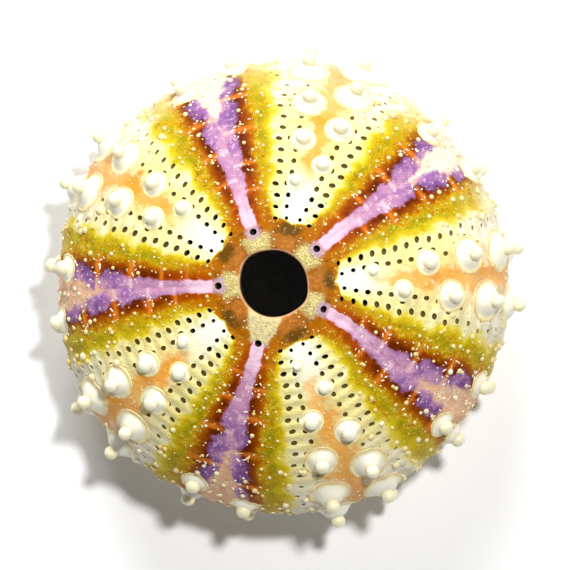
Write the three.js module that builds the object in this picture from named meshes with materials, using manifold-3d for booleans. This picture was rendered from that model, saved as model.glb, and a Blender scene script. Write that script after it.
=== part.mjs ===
// Empty shell of a sea urchin standing mouth side down. It is one hollow wall, open at the
// top pole and at the mouth, grown in five sectors, with knobs for the lost spines.
// Millimetres, +Z up, origin in the middle of the plane that the shell stands on.
import * as THREE from 'three';
import { mergeVertices } from 'three/addons/utils/BufferGeometryUtils.js';
import Module from 'manifold-3d';

const wasm = await Module();
wasm.setup();

const SECTORS = 5;
const SECTOR_ANGLE = 360 / SECTORS;

// Wall: the crown is a half ellipse, the belly a quarter ellipse, the lip a shallow parabola.
const WALL_THICKNESS = 0.9;
const WIDEST_RADIUS = 20;
const WIDEST_HEIGHT = 7.5;
const CROWN_RISE = 12;
const FLOOR_RADIUS = 13;
const FLOOR_HEIGHT = 1.0;
const LIP_RISE = 0.9;
const MOUTH_RADIUS = 9.5;
const TOP_HOLE_RADIUS = 3;
const TOP_HOLE_BULGES = [
  { azimuth: 137, spread: 24, amount: 0.26 },
  { azimuth: -27, spread: 20, amount: 0.2 },
];
const BAND_RELIEF = 0.16;
const BAND_RELIEF_START = 5;
const BAND_RELIEF_FULL = 16;

// Rows and columns of the faceted wall
const WALL_COLUMNS = 50;
const OUTER_ROWS = 15;
const INNER_ROWS = 7;
const ARC_SAMPLES = 600;

// Spine knobs. An arc is measured along the wall from the top pole. The drift turns a band's
// knobs sideways from the widest part down.
const KNOB_BANDS = [
  { azimuth: 2.5, side: 1, drift: 0, arcs: [8.6, 11.3, 13.7, 15.9, 18.0, 20.1] },
  { azimuth: 73.5, side: 1, drift: 2.4, arcs: [9.1, 11.2, 13.1, 15.0, 17.0, 19.2] },
  { azimuth: 146, side: -1, drift: 1.2, arcs: [10.4, 12.3, 14.1, 16.2, 18.8, 20.8] },
  { azimuth: 217.5, side: -1, drift: 0, arcs: [9.4, 11.4, 13.4, 15.2, 17.2, 19.3] },
  { azimuth: 290.5, side: -1, drift: 0, arcs: [7.4, 10.0, 12.5, 14.6, 16.6, 18.8] },
];
const DRIFT_START = 16;
const DRIFT_FULL = 23;
const BAND_KNOB_PITCHES = [[26, 2.2], [38, 1.58]];
const BAND_KNOB_LAST_ARC = 38;
const BAND_KNOB_SIZES = [[7, 0.42], [13, 0.9], [20, 1.5], [26, 1.55], [35, 1.12], [39, 0.8]];
const BAND_KNOB_ANGLES = [[8, 4.8], [19, 6.6], [30, 7.2], [39, 8.5]];
const FIELD_KNOB_FIRST_ARC = 21.2;
const FIELD_KNOB_PITCH = 1.95;
const FIELD_KNOB_LAST_ARC = 37.6;
const FIELD_KNOB_SIZES = [[21, 1.05], [27, 1.2], [35, 1.12], [39, 0.75]];
const FIELD_KNOB_ANGLES = [[21, 6.8], [39, 9.5]];

// Knob profiles as [radius, height] in shares of the boss radius, foot in the wall first.
// From SHAPED_KNOB_RADIUS up, a knob has the narrow neck under its ball.
const SHAPED_KNOB_RADIUS = 1.22;
const SHAPED_KNOB_SIDES = 7;
const SHAPED_KNOB = [[0, -0.3], [1.08, -0.3], [0.74, 0.42], [0.3, 0.6], [0.4, 0.86], [0, 1.14]];
const PLAIN_KNOB_SIDES = 6;
const PLAIN_KNOB = [[0, -0.3], [1.1, -0.3], [0.62, 0.5], [0.34, 1.12], [0, 1.12]];

// Holes in the wall. Each egg pore lies a little beside the middle of its field.
const EGG_PORE_RADIUS = 0.32;
const EGG_PORE_ARCS = [4.75, 4.75, 4.75, 5.3, 4.75];
const EGG_PORE_TURNS = [0.4, 2, 0.2, 2, 6.5];
const GILL_NOTCH_RADIUS = 0.75;
const GILL_NOTCH_ANGLE = 15;
const HOLE_SIDES = 8;
const CUTTER_LENGTH = 4;
const GROUND_CUTTER = 80;
const SAME_POINT = 1e-5;

const shellMaterial = new THREE.MeshStandardMaterial({
  color: 0xe9dcb4,
  roughness: 0.55,
  metalness: 0,
});

const radians = THREE.MathUtils.degToRad;

/** Piecewise straight value of a list of [place, value] pairs. */
function along(list, place) {
  const last = list.length - 1;
  const next = list.findIndex(([at]) => at > place);
  if (next === 0) return list[0][1];
  if (next < 0) return list[last][1];
  const [from, low] = list[next - 1];
  const [to, high] = list[next];
  return low + ((place - from) / (to - from)) * (high - low);
}

/** Outline of the wall's outside from the top pole to the mouth, with its length so far. */
function traceOutline() {
  const points = [];
  for (let i = 0; i <= ARC_SAMPLES; i += 1) {
    const turn = (i / ARC_SAMPLES) * (Math.PI / 2);
    points.push(new THREE.Vector2(
      WIDEST_RADIUS * Math.sin(turn),
      WIDEST_HEIGHT + CROWN_RISE * Math.cos(turn),
    ));
  }
  for (let i = 1; i <= ARC_SAMPLES; i += 1) {
    const turn = (i / ARC_SAMPLES) * (Math.PI / 2);
    points.push(new THREE.Vector2(
      FLOOR_RADIUS + (WIDEST_RADIUS - FLOOR_RADIUS) * Math.cos(turn),
      WIDEST_HEIGHT - (WIDEST_HEIGHT - FLOOR_HEIGHT) * Math.sin(turn),
    ));
  }
  for (let i = 1; i <= ARC_SAMPLES; i += 1) {
    const part = i / ARC_SAMPLES;
    points.push(new THREE.Vector2(
      FLOOR_RADIUS - (FLOOR_RADIUS - MOUTH_RADIUS) * part,
      FLOOR_HEIGHT + LIP_RISE * part * part,
    ));
  }
  const arcs = [0];
  for (let i = 1; i < points.length; i += 1) {
    arcs.push(arcs[i - 1] + points[i].distanceTo(points[i - 1]));
  }
  return { points, arcs };
}

const outline = traceOutline();
const MOUTH_ARC = outline.arcs[outline.arcs.length - 1];

/** Radius, height and outward direction of the smooth wall at an arc from the top pole. */
function outlineAt(arc) {
  const place = THREE.MathUtils.clamp(arc, 0, MOUTH_ARC);
  const next = Math.max(1, outline.arcs.findIndex((length) => length >= place));
  const from = outline.points[next - 1];
  const to = outline.points[next];
  const share = (place - outline.arcs[next - 1]) / (outline.arcs[next] - outline.arcs[next - 1]);
  const point = from.clone().lerp(to, share);
  const run = to.clone().sub(from).normalize();
  return { point, outward: new THREE.Vector2(-run.y, run.x) };
}

/** Angle between two azimuths, from -180 to 180. */
function angleBetween(a, b) {
  return ((((a - b) % 360) + 540) % 360) - 180;
}

/** How far the top hole's edge lies outside its plain circle. */
function topHoleBulge(azimuth) {
  return TOP_HOLE_BULGES.reduce((sum, bulge) => {
    const away = angleBetween(azimuth, bulge.azimuth) / bulge.spread;
    return sum + bulge.amount * Math.exp(-away * away);
  }, 0);
}

/** A point of the wall: arc from the top pole, azimuth in degrees, depth below the outside. */
function wallPoint(arc, azimuth, depth = 0) {
  const nearHole = 1 - THREE.MathUtils.smoothstep(arc, TOP_HOLE_RADIUS, 2 * TOP_HOLE_RADIUS);
  const { point, outward } = outlineAt(arc + topHoleBulge(azimuth) * nearHole);
  const fullness = THREE.MathUtils.smoothstep(arc, BAND_RELIEF_START, BAND_RELIEF_FULL);
  const wave = Math.cos(radians(SECTORS * (azimuth - KNOB_BANDS[0].azimuth)));
  const rise = BAND_RELIEF * wave * fullness - depth;
  const radius = point.x + outward.x * rise;
  const turn = radians(azimuth);
  return new THREE.Vector3(
    radius * Math.cos(turn),
    radius * Math.sin(turn),
    point.y + outward.y * rise,
  );
}

/** Outward direction of the wall at a place. */
function wallNormal(arc, azimuth) {
  const { outward } = outlineAt(arc);
  const turn = radians(azimuth);
  return new THREE.Vector3(outward.x * Math.cos(turn), outward.x * Math.sin(turn), outward.y);
}

/** Closed geometry to a solid. */
function toSolid(geometry) {
  const bare = geometry.index ? geometry.toNonIndexed() : geometry.clone();
  bare.deleteAttribute('normal');
  bare.deleteAttribute('uv');
  const merged = mergeVertices(bare, SAME_POINT);
  return new wasm.Manifold(new wasm.Mesh({
    numProp: 3,
    vertProperties: new Float32Array(merged.attributes.position.array),
    triVerts: new Uint32Array(merged.index.array),
  }));
}

/** Solid back to a geometry with flat faces. */
function toGeometry(solid) {
  const mesh = solid.getMesh();
  const geometry = new THREE.BufferGeometry();
  geometry.setAttribute('position', new THREE.BufferAttribute(mesh.vertProperties, 3));
  geometry.setIndex(new THREE.BufferAttribute(mesh.triVerts, 1));
  const faceted = geometry.toNonIndexed();
  faceted.computeVertexNormals();
  return faceted;
}

/** The bare wall: a closed profile turned round the axis, then set to its sectors' relief. */
function makeWall() {
  const stations = [];
  const length = MOUTH_ARC - TOP_HOLE_RADIUS;
  for (let i = 0; i < INNER_ROWS; i += 1) {
    stations.push({ arc: TOP_HOLE_RADIUS + (i / (INNER_ROWS - 1)) * length, depth: WALL_THICKNESS });
  }
  for (let i = OUTER_ROWS - 1; i >= 0; i -= 1) {
    stations.push({ arc: TOP_HOLE_RADIUS + (i / (OUTER_ROWS - 1)) * length, depth: 0 });
  }
  stations.push(stations[0]);
  const profile = stations.map(({ arc, depth }) => {
    const { point, outward } = outlineAt(arc);
    return point.clone().addScaledVector(outward, -depth);
  });
  const geometry = new THREE.LatheGeometry(profile, WALL_COLUMNS);
  const position = geometry.attributes.position;
  for (let i = 0; i < position.count; i += 1) {
    const { arc, depth } = stations[i % stations.length];
    const column = Math.floor(i / stations.length) % WALL_COLUMNS;
    const place = wallPoint(arc, (column / WALL_COLUMNS) * 360, depth);
    position.setXYZ(i, place.x, place.y, place.z);
  }
  return toSolid(geometry);
}

/** A knob about the Z axis: a domed boss with a ball on it. */
function knobGeometry(size) {
  const shaped = size >= SHAPED_KNOB_RADIUS;
  const shares = shaped ? SHAPED_KNOB : PLAIN_KNOB;
  const profile = shares.map(([radius, height]) => new THREE.Vector2(radius * size, height * size));
  const geometry = new THREE.LatheGeometry(profile, shaped ? SHAPED_KNOB_SIDES : PLAIN_KNOB_SIDES);
  geometry.rotateX(Math.PI / 2);
  return geometry;
}

/** A knob set upright on the wall. */
function makeKnob(size, arc, azimuth) {
  const geometry = knobGeometry(size);
  const upright = new THREE.Quaternion().setFromUnitVectors(
    new THREE.Vector3(0, 0, 1),
    wallNormal(arc, azimuth),
  );
  geometry.applyQuaternion(upright);
  geometry.translate(...wallPoint(arc, azimuth).toArray());
  return toSolid(geometry);
}

/** Knobs of the five white bands: two columns each, taking turns from the top to the mouth. */
function bandKnobs() {
  return KNOB_BANDS.flatMap((band) => {
    const arcs = [...band.arcs];
    let arc = arcs[arcs.length - 1] + along(BAND_KNOB_PITCHES, 0);
    while (arc < BAND_KNOB_LAST_ARC) {
      arcs.push(arc);
      arc += along(BAND_KNOB_PITCHES, arc);
    }
    return arcs.map((place, index) => {
      const side = index % 2 === 0 ? band.side : -band.side;
      const drift = band.drift * THREE.MathUtils.smoothstep(place, DRIFT_START, DRIFT_FULL);
      const azimuth = band.azimuth + drift + side * along(BAND_KNOB_ANGLES, place);
      return makeKnob(along(BAND_KNOB_SIZES, place), place, azimuth);
    });
  });
}

/** Knobs of the five coloured fields between the bands, from the widest part down. */
function fieldKnobs() {
  return KNOB_BANDS.flatMap((band) => {
    const knobs = [];
    let side = band.side;
    for (let arc = FIELD_KNOB_FIRST_ARC; arc < FIELD_KNOB_LAST_ARC; arc += FIELD_KNOB_PITCH) {
      const azimuth = band.azimuth + SECTOR_ANGLE / 2 + side * along(FIELD_KNOB_ANGLES, arc);
      knobs.push(makeKnob(along(FIELD_KNOB_SIZES, arc), arc, azimuth));
      side = -side;
    }
    return knobs;
  });
}

/** A round upright cutter centred on a place of the wall. */
function makeHole(radius, arc, azimuth) {
  const geometry = new THREE.CylinderGeometry(radius, radius, CUTTER_LENGTH, HOLE_SIDES);
  geometry.rotateX(Math.PI / 2);
  geometry.translate(...wallPoint(arc, azimuth).toArray());
  return toSolid(geometry);
}

/** The five egg pores round the top hole, square through the wall. */
function eggPores() {
  return EGG_PORE_ARCS.map((arc, index) => {
    const azimuth = KNOB_BANDS[index].azimuth + SECTOR_ANGLE / 2 + EGG_PORE_TURNS[index];
    return makeHole(EGG_PORE_RADIUS, arc, azimuth);
  });
}

/** Ten round notches in the mouth's edge, one at each border of a band. */
function gillNotches() {
  return KNOB_BANDS.flatMap((band) => [-1, 1].map((side) => {
    const azimuth = band.azimuth + side * GILL_NOTCH_ANGLE;
    return makeHole(GILL_NOTCH_RADIUS, MOUTH_ARC, azimuth);
  }));
}

/** Everything below the standing plane, where the lowest knobs are worn flat. */
function belowGround() {
  const geometry = new THREE.BoxGeometry(GROUND_CUTTER, GROUND_CUTTER, GROUND_CUTTER);
  geometry.translate(0, 0, -GROUND_CUTTER / 2);
  return toSolid(geometry);
}

/** The whole shell. */
function makeShell() {
  let solid = makeWall();
  for (const knob of [...bandKnobs(), ...fieldKnobs()]) {
    solid = solid.add(knob);
  }
  for (const hole of [...eggPores(), ...gillNotches(), belowGround()]) {
    solid = solid.subtract(hole);
  }
  const mesh = new THREE.Mesh(toGeometry(solid), shellMaterial);
  mesh.name = 'urchin_shell';
  return mesh;
}

const urchin = new THREE.Group();
urchin.add(makeShell());

export default urchin;
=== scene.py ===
"""Empty shell of a sea urchin, mouth side down: five white bands with pores and spine knobs, five
coloured fields between them, a ring of plates round the top opening, and the mouth underneath.
Shapes are worked out in millimetres and put into the meshes in metres."""

import bpy
import numpy as np
from mathutils import Matrix, Vector


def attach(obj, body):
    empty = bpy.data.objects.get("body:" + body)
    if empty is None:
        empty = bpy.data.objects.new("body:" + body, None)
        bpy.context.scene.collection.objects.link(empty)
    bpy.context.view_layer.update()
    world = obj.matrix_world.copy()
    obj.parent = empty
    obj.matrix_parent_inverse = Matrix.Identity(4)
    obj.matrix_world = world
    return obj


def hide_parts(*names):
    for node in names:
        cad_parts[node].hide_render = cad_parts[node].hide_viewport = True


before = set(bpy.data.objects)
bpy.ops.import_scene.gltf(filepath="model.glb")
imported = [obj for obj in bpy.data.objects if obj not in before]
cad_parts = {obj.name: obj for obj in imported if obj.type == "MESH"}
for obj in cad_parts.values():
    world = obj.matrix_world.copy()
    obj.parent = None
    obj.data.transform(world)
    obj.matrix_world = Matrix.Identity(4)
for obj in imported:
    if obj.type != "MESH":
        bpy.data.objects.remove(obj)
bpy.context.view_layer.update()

MM = 0.001

# Wall: half ellipse above the widest ring, quarter ellipse below it, parabola up to the mouth.
WALL_THICKNESS = 0.9
WIDEST_RADIUS = 20.0
WIDEST_HEIGHT = 7.5
CROWN_RISE = 12.0
FLOOR_RADIUS = 13.0
FLOOR_HEIGHT = 1.0
LIP_RISE = 0.9
MOUTH_RADIUS = 9.5
TOP_HOLE_RADIUS = 2.88
TOP_HOLE_BULGES = ((137.0, 24.0, 0.26), (-27.0, 20.0, 0.2))
GILL_NOTCH_DEPTH = 0.75
GILL_NOTCH_ANGLE = 15.0
GILL_NOTCH_SPREAD = 4.5
GILL_NOTCH_START = 36.5
BAND_RELIEF = 0.16
BAND_RELIEF_ARCS = (5, 16)
ARC_SAMPLES = 1200
SECTION_MIDDLE = (11.0, 8.0)
SECTION_STEPS = 3

# Sectors. Azimuths of the five white bands; the coloured fields lie halfway between them, and each
# field's middle line is turned by its bend, in degrees, at the top opening. The arcs say where the
# bend starts to fade and where it has gone.
BAND_AZIMUTHS = np.array([2.5, 73.5, 146.0, 217.5, 290.5])
SECTOR = 72.0
MADREPORE_SECTOR = 3
FIELD_BENDS = np.array([0.4, 2.0, 0.2, 2.0, 6.5])
FIELD_BEND_ARCS = (4.7, 12.0)

# Fine relief of the outside: heights and depths, half widths of grooves, and the arcs and the degrees
# from a band's axis between which each kind grows to its full height
FIELD_RELIEF_ANGLES = (13.0, 19.0)
FIELD_RELIEF_ARCS = (5.6, 6.6)
PLATE_PILLOW = 0.03
SUTURE_DEPTH = 0.08
SUTURE_WIDTH = 0.16
MIDDLE_SUTURE_WIDTH = 0.2
FURROW_INNER_ANGLES = (4.5, 7.5)
FURROW_OUTER_ANGLES = (15.0, 18.5)
FURROW_ARCS = (5.6, 6.4)
FURROW_DEPTH = 0.075
FURROW_FALL = 0.03
FURROW_FALL_ARCS = (13.0, 20.0)
AXIS_DIP = 0.08
AXIS_DIP_ANGLE = 3.2
AXIS_DIP_ARCS = (8, 12)
FOLD_START_ARCS = (17.0, 22.0)
FOLD_END_ARCS = (29.0, 34.0)
FOLD_HEIGHT = 0.2
FOLD_COUNT = 26
FOLD_WAVE = (1.6, 7)
FOLD_LEAN = 0.5
FOLD_MIDDLE_ARC = 22.0
TOP_PLATE_ARCS = (4.4, 5.2)
TOP_PLATE_HEIGHT = 0.1
TOP_PLATE_ANGLE = 17.0
TOP_GROOVE = (5.15, 0.25, 0.05)
TOP_GROOVE_ANGLE = 20
LIP_DIP = 0.09
LIP_WIDTH = 0.16
KNOB_SINK = 0.1
KNOB_SINK_SHARES = (1.05, 1.22)
GROUND_CLEARANCE = 0.02

# Knobs: arcs from the top pole, side of the band's axis of the first one, sizes and angles. The lower
# knobs of a band are turned by its drift, which starts and is full at two arcs.
BAND_KNOB_STARTS = (
    (1, (8.6, 11.3, 13.7, 15.9, 18.0, 20.1)),
    (1, (9.1, 11.2, 13.1, 15.0, 17.0, 19.2)),
    (-1, (10.4, 12.3, 14.1, 16.2, 18.8, 20.8)),
    (-1, (9.4, 11.4, 13.4, 15.2, 17.2, 19.3)),
    (-1, (7.4, 10.0, 12.5, 14.6, 16.6, 18.8)),
)
BAND_KNOB_DRIFTS = (0.0, 2.4, 1.2, 0.0, 0.0)
BAND_KNOB_DRIFT_ARCS = (16.0, 23.0)
BAND_KNOB_PITCHES = ((26.0, 38.0), (2.2, 1.58))
BAND_KNOB_LAST_ARC = 38.0
BAND_KNOB_SIZES = ((7.0, 13.0, 20.0, 26.0, 35.0, 39.0), (0.42, 0.9, 1.5, 1.55, 1.12, 0.8))
BAND_KNOB_ANGLES = ((8.0, 19.0, 30.0, 39.0), (4.8, 6.6, 7.2, 8.5))
FIELD_KNOB_FIRST_ARC = 21.2
FIELD_KNOB_PITCH = 1.95
FIELD_KNOB_LAST_ARC = 37.6
FIELD_KNOB_SIZES = ((21.0, 27.0, 35.0, 39.0), (1.05, 1.2, 1.12, 0.75))
FIELD_KNOB_ANGLES = ((21.0, 39.0), (6.8, 9.5))
KNOB_COLUMNS = 32
KNOB_DRAPE_SHARES = (0.4, 1.0)
KNOB_TIP_RISE = 0.012
NO_KNOB_NEAR = 9.0

# Knob profiles, one for the smallest and one for the largest: distance from the knob's axis and height,
# both in shares of the boss radius, from the ball's top (first rows) to the rim and buried skirt.
SMALL_PROFILE = np.array([
    (0.19, 0.98), (0.37, 0.93), (0.52, 0.84), (0.64, 0.71), (0.72, 0.56), (0.75, 0.42), (0.75, 0.33),
    (0.755, 0.27), (0.765, 0.23), (0.78, 0.2), (0.8, 0.17), (0.83, 0.14), (0.86, 0.11), (0.89, 0.08),
    (0.93, 0.05), (0.98, 0.025), (1.05, 0.01), (1.12, 0.03), (1.18, 0.05), (1.24, 0.035),
    (1.31, -0.06), (1.31, -0.16),
])
LARGE_PROFILE = np.array([
    (0.1, 1.1), (0.2, 1.07), (0.29, 1.0), (0.365, 0.9), (0.405, 0.78), (0.405, 0.67), (0.375, 0.58),
    (0.355, 0.52), (0.365, 0.485), (0.42, 0.465), (0.5, 0.43), (0.59, 0.365), (0.69, 0.275), (0.79, 0.18),
    (0.88, 0.095), (0.97, 0.035), (1.06, 0.015), (1.13, 0.03), (1.19, 0.045), (1.25, 0.03),
    (1.31, -0.06), (1.31, -0.16),
])
PROFILE_SIZES = (0.75, 1.5)

# Pore pairs of the bands, and the pore of each field by the top opening. All are blind pits.
PAIR_FIRST_ARC = 5.75
PAIR_LAST_ARC = 36.5
PAIR_RADIAL_STEP = 1.0
PAIR_LONGEST_STEP = 1.35
INNER_PORE_ANGLES = ((5.7, 6.6, 8.0, 39.0), (5.4, 7.0, 7.6, 8.6))
OUTER_PORE_ANGLES = ((5.7, 6.6, 8.0, 39.0), (9.6, 12.6, 13.9, 14.0))
PORE_WIDTHS = ((5.5, 8.0, 15.0, 19.0, 26.0, 39.0), (0.15, 0.215, 0.22, 0.17, 0.13, 0.11))
PORE_DEPTHS = ((8.6, 8.9, 20.0), (0.84, 0.3, 0.2))
PORE_STRETCH = 1.12
OUTER_PORE_STRETCH = 1.4
OUTER_PORE_TILT = 0.35
OUTER_PORE_RAISE = 0.1
PAIR_WIDTH = 0.95
PORE_KNOB_CLEARANCE = 1.26
ROD_TOP = 0.6
EGG_PORE_ARC = 4.75
MADREPORE_EGG_SHIFT = 0.55
EGG_PORE_RADIUS = 0.31
PORE_SIDES = 12

# Plates of the fields: arcs of the sutures of one column; the other column's lie halfway. Each field
# has its own shift, in plates.
PLATE_ARCS = np.array([4.4, 6.4, 8.7, 11.2, 14.75, 18.6, 22.4, 26.0, 29.4, 32.4, 35.0, 37.3, 39.5])
PLATE_SHIFTS = np.array([0.3, 0.6, 0.0, 0.75, 0.16])

# Granules: first and last arc, how many along it, degrees from the field's middle, how many across,
# smallest and largest half width, growth down the side, paleness, stretch.
BEAD_GROUPS = (
    (6.4, 26.5, 13, 8.5, 18.0, 3, 0.1, 0.17, 0.9, 0.15, 1.0),
    (16.5, 30.0, 9, 18.5, 23.5, 2, 0.15, 0.3, 0.4, 0.35, 1.0),
    (23.5, 38.4, 10, 1.0, 34.0, 8, 0.13, 0.27, 0.0, 0.4, 1.0),
    (18.5, 24.0, 4, 0.0, 7.0, 2, 0.14, 0.28, 0.0, 0.5, 1.0),
)
# The second grain group, paleness 1 and stretched, makes white flecks gathered on the field sutures: painted
# glints.
GRAIN_GROUPS = (
    (5.5, 26.0, 18, 6.5, 18.5, 4, 0.045, 0.1, 0.3, 0.1, 1.0),
    (8.6, 22.5, 27, 3.4, 10.5, 4, 0.045, 0.08, 0.3, 1.0, 3.4),
    (9.5, 26.0, 12, 32.5, 35.5, 2, 0.045, 0.1, 0.3, 0.4, 1.0),
    (3.3, 4.45, 4, 0.0, 14.0, 4, 0.06, 0.12, 0.0, 0.2, 1.0),
)
BEAD_SHAPE = (10, (30.0, 62.0, 98.0))
GRAIN_SHAPE = (6, (42.0, 96.0))
BEAD_SEED = 5
GRAIN_SEED = 11
GRANULE_HEIGHT = 0.75
GRANULE_FOOT = 0.2
GRANULE_JITTER = (0.6, 0.55)
GRANULE_GROWTH_ARCS = (7.0, 24.0)
GRANULE_SPREAD = 0.35
GRANULE_SPREAD_ARCS = (4.6, 8.5)
GRANULE_KEPT_SHARE = 0.85
GRANULE_SUTURE_SHARES = (0.3, 0.05)
GRANULE_KNOB_CLEARANCE = 1.25
GRANULE_PORE_CLEARANCE = 1.1
GRANULE_EDGE_CLEARANCES = (0.25, 0.6)

# Rows of the wall's mesh as (first arc, step) of each stretch, and the rounding of its two edges
WALL_COLUMNS = 500
WALL_STRETCHES = ((2.94, 0.18), (8.0, 0.26), (26.0, 0.55))
INNER_STEP = 2.4
MOUTH_ROUNDING = (0.12, 0.2)
TOP_EDGE_LIFTS = (-0.8, -0.12)
SHARP_ANGLE = 48.0

# Flat map: distance from the disc's middle by arc, the shift of an opening's edge by its depth, and
# the scale and place of the inside's disc
FLAT_DISC = ((2.9, 25.5, 39.4), (0.05, 0.4, 0.475))
FLAT_EDGES = ((3.2, 3.5, 39.0, 39.3), (-0.014, 0.0, 0.0, 0.014))
FLAT_INSIDE = 0.16
FLAT_INSIDE_PLACE = 0.083
FLAT_CELL = 0.46

# Noise of the paints: its four grains as size in millimetres, detail and shift
NOISES = ((2.6, 2.0, 0.1), (1.1, 3.0, 0.5), (0.42, 3.0, 0.3), (0.14, 2.0, 0.7))
NOISE_ROUGHNESS = 0.55

# Stage, in metres and watts: lamps as name, place, side and power
FLOOR_SIZE = 3.0
ROOM_LIGHT = 0.125
LAMPS = (
    ("top", (0.13, 0.118, 0.458), 0.045, 1.8),
    ("fill", (-0.3, -0.25, 0.3), 0.3, 0.12),
    ("side", (-0.07, 0.395, 0.281), 0.2, 1.75),
)
LAMP_TARGET = (0.0, 0.0, 0.008)
CAMERA_DISTANCE = 0.32
CAMERA_LEAN = 3.8
CAMERA_LEAN_AZIMUTH = -23.0
CAMERA_AIM = (0.00026, 0.00019, WIDEST_HEIGHT * MM)
VIEW_WIDTH = 0.0493
SENSOR_WIDTH = 36.0


def smooth(low, high, value):
    """Goes from 0 at low to 1 at high along a cubic."""
    share = np.clip((value - low) / (high - low), 0.0, 1.0)
    return share * share * (3.0 - 2.0 * share)


def hump(value, middle, width):
    """A bell of height 1 about the middle."""
    return np.exp(-((value - middle) / width) ** 2)


def trace_outline():
    """Outside of the wall in section: arc length, radius and height from the top pole to the mouth."""
    turn = np.linspace(0.0, np.pi / 2, ARC_SAMPLES)
    part = np.linspace(0.0, 1.0, ARC_SAMPLES)[1:]
    radius = np.concatenate([
        WIDEST_RADIUS * np.sin(turn),
        FLOOR_RADIUS + (WIDEST_RADIUS - FLOOR_RADIUS) * np.cos(turn[1:]),
        FLOOR_RADIUS - (FLOOR_RADIUS - MOUTH_RADIUS) * part,
    ])
    height = np.concatenate([
        WIDEST_HEIGHT + CROWN_RISE * np.cos(turn),
        WIDEST_HEIGHT - (WIDEST_HEIGHT - FLOOR_HEIGHT) * np.sin(turn[1:]),
        FLOOR_HEIGHT + LIP_RISE * part * part,
    ])
    steps = np.hypot(np.diff(radius), np.diff(height))
    return np.concatenate([[0.0], np.cumsum(steps)]), radius, height


ARC, RADIUS, HEIGHT = trace_outline()
MOUTH_ARC = ARC[-1]
RUN_R = np.gradient(RADIUS, ARC)
RUN_Z = np.gradient(HEIGHT, ARC)


def reach(arc):
    """Distance of the wall's outside from the axis."""
    return np.interp(arc, ARC, RADIUS)


def angle_between(a, b):
    """Difference of two azimuths, from -180 to 180."""
    return (a - b + 180.0) % 360.0 - 180.0


def evened(azimuth):
    """Azimuth stretched so that the five bands fall on multiples of 72 degrees."""
    known = np.concatenate([BAND_AZIMUTHS, BAND_AZIMUTHS[:1] + 360.0])
    start = BAND_AZIMUTHS[0]
    return np.interp((azimuth - start) % 360.0 + start, known, np.arange(6) * SECTOR)


def bent(arc, turn, sector):
    """Degrees from a field's middle line, which bends sideways near the top opening."""
    bend = FIELD_BENDS[sector] * (1 - smooth(*FIELD_BEND_ARCS, arc))
    return turn - bend * (1 - (2 * turn / SECTOR) ** 2)


def field_turn(arc, azimuth):
    """Signed degrees from the middle line of the field that holds the azimuth."""
    even = evened(azimuth)
    return bent(arc, even % SECTOR - SECTOR / 2, (np.floor(even / SECTOR) % 5).astype(int))


def hole_shift(arc, azimuth):
    """How far the top hole's uneven edge moves the wall near it outward along the arc."""
    bulge = sum(size * np.exp(-(angle_between(azimuth, at) / spread) ** 2)
                for at, spread, size in TOP_HOLE_BULGES)
    return bulge * (1.0 - smooth(TOP_HOLE_RADIUS, 2 * TOP_HOLE_RADIUS, arc))


def mouth_shift(arc, azimuth):
    """How far the ten round notches in the mouth's edge pull the wall near it back along the arc."""
    from_band = np.abs(angle_between(evened(azimuth) * 5, 0.0)) / 5
    notch = 1 - np.clip((from_band - GILL_NOTCH_ANGLE) / GILL_NOTCH_SPREAD, -1.0, 1.0) ** 2
    return GILL_NOTCH_DEPTH * np.sqrt(notch) * smooth(GILL_NOTCH_START, MOUTH_ARC, arc)


def band_rise(arc, azimuth):
    """How far the bands stand out and the fields lie back: five waves round the shell."""
    wave = np.cos(np.radians(5 * (azimuth - BAND_AZIMUTHS[0])))
    return BAND_RELIEF * wave * smooth(*BAND_RELIEF_ARCS, arc)


def wall(arc, azimuth, lift=0.0):
    """Point at an arc and azimuth: the section's point moved outward by the lift, then turned."""
    arc = arc + hole_shift(arc, azimuth) - mouth_shift(arc, azimuth)
    rise = lift + band_rise(arc, azimuth)
    run_r = np.interp(arc, ARC, RUN_R)
    run_z = np.interp(arc, ARC, RUN_Z)
    radius = np.interp(arc, ARC, RADIUS) - run_z * rise
    height = np.interp(arc, ARC, HEIGHT) + run_r * rise
    turn = np.radians(azimuth)
    return np.stack([radius * np.cos(turn), radius * np.sin(turn), height], axis=-1)


def knob_list():
    """All knobs as rows of arc, azimuth, boss radius and kind (0 in a band, 1 in a field)."""
    rows = []
    for band, (side, starts) in enumerate(BAND_KNOB_STARTS):
        arcs = list(starts)
        arc = arcs[-1] + BAND_KNOB_PITCHES[1][0]
        while arc < BAND_KNOB_LAST_ARC:
            arcs.append(arc)
            arc += np.interp(arc, *BAND_KNOB_PITCHES)
        for index, arc in enumerate(arcs):
            turn = side * (-1) ** index * np.interp(arc, *BAND_KNOB_ANGLES)
            turn += BAND_KNOB_DRIFTS[band] * smooth(*BAND_KNOB_DRIFT_ARCS, arc)
            rows.append((arc, BAND_AZIMUTHS[band] + turn, np.interp(arc, *BAND_KNOB_SIZES), 0))
        arcs = np.arange(FIELD_KNOB_FIRST_ARC, FIELD_KNOB_LAST_ARC, FIELD_KNOB_PITCH)
        for index, arc in enumerate(arcs):
            turn = side * (-1) ** index * np.interp(arc, *FIELD_KNOB_ANGLES)
            middle = BAND_AZIMUTHS[band] + SECTOR / 2
            rows.append((arc, middle + turn, np.interp(arc, *FIELD_KNOB_SIZES), 1))
    return np.array(rows)


KNOBS = knob_list()


def knob_share(arc, azimuth):
    """Distance to the nearest knob's middle along the wall, in shares of its boss radius."""
    nearest = np.full(np.shape(arc), NO_KNOB_NEAR)
    across = np.radians(1.0) * reach(arc)
    for at, turn, size, _ in KNOBS:
        away = np.hypot(arc - at, angle_between(azimuth, turn) * across)
        nearest = np.minimum(nearest, away / size)
    return nearest


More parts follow.
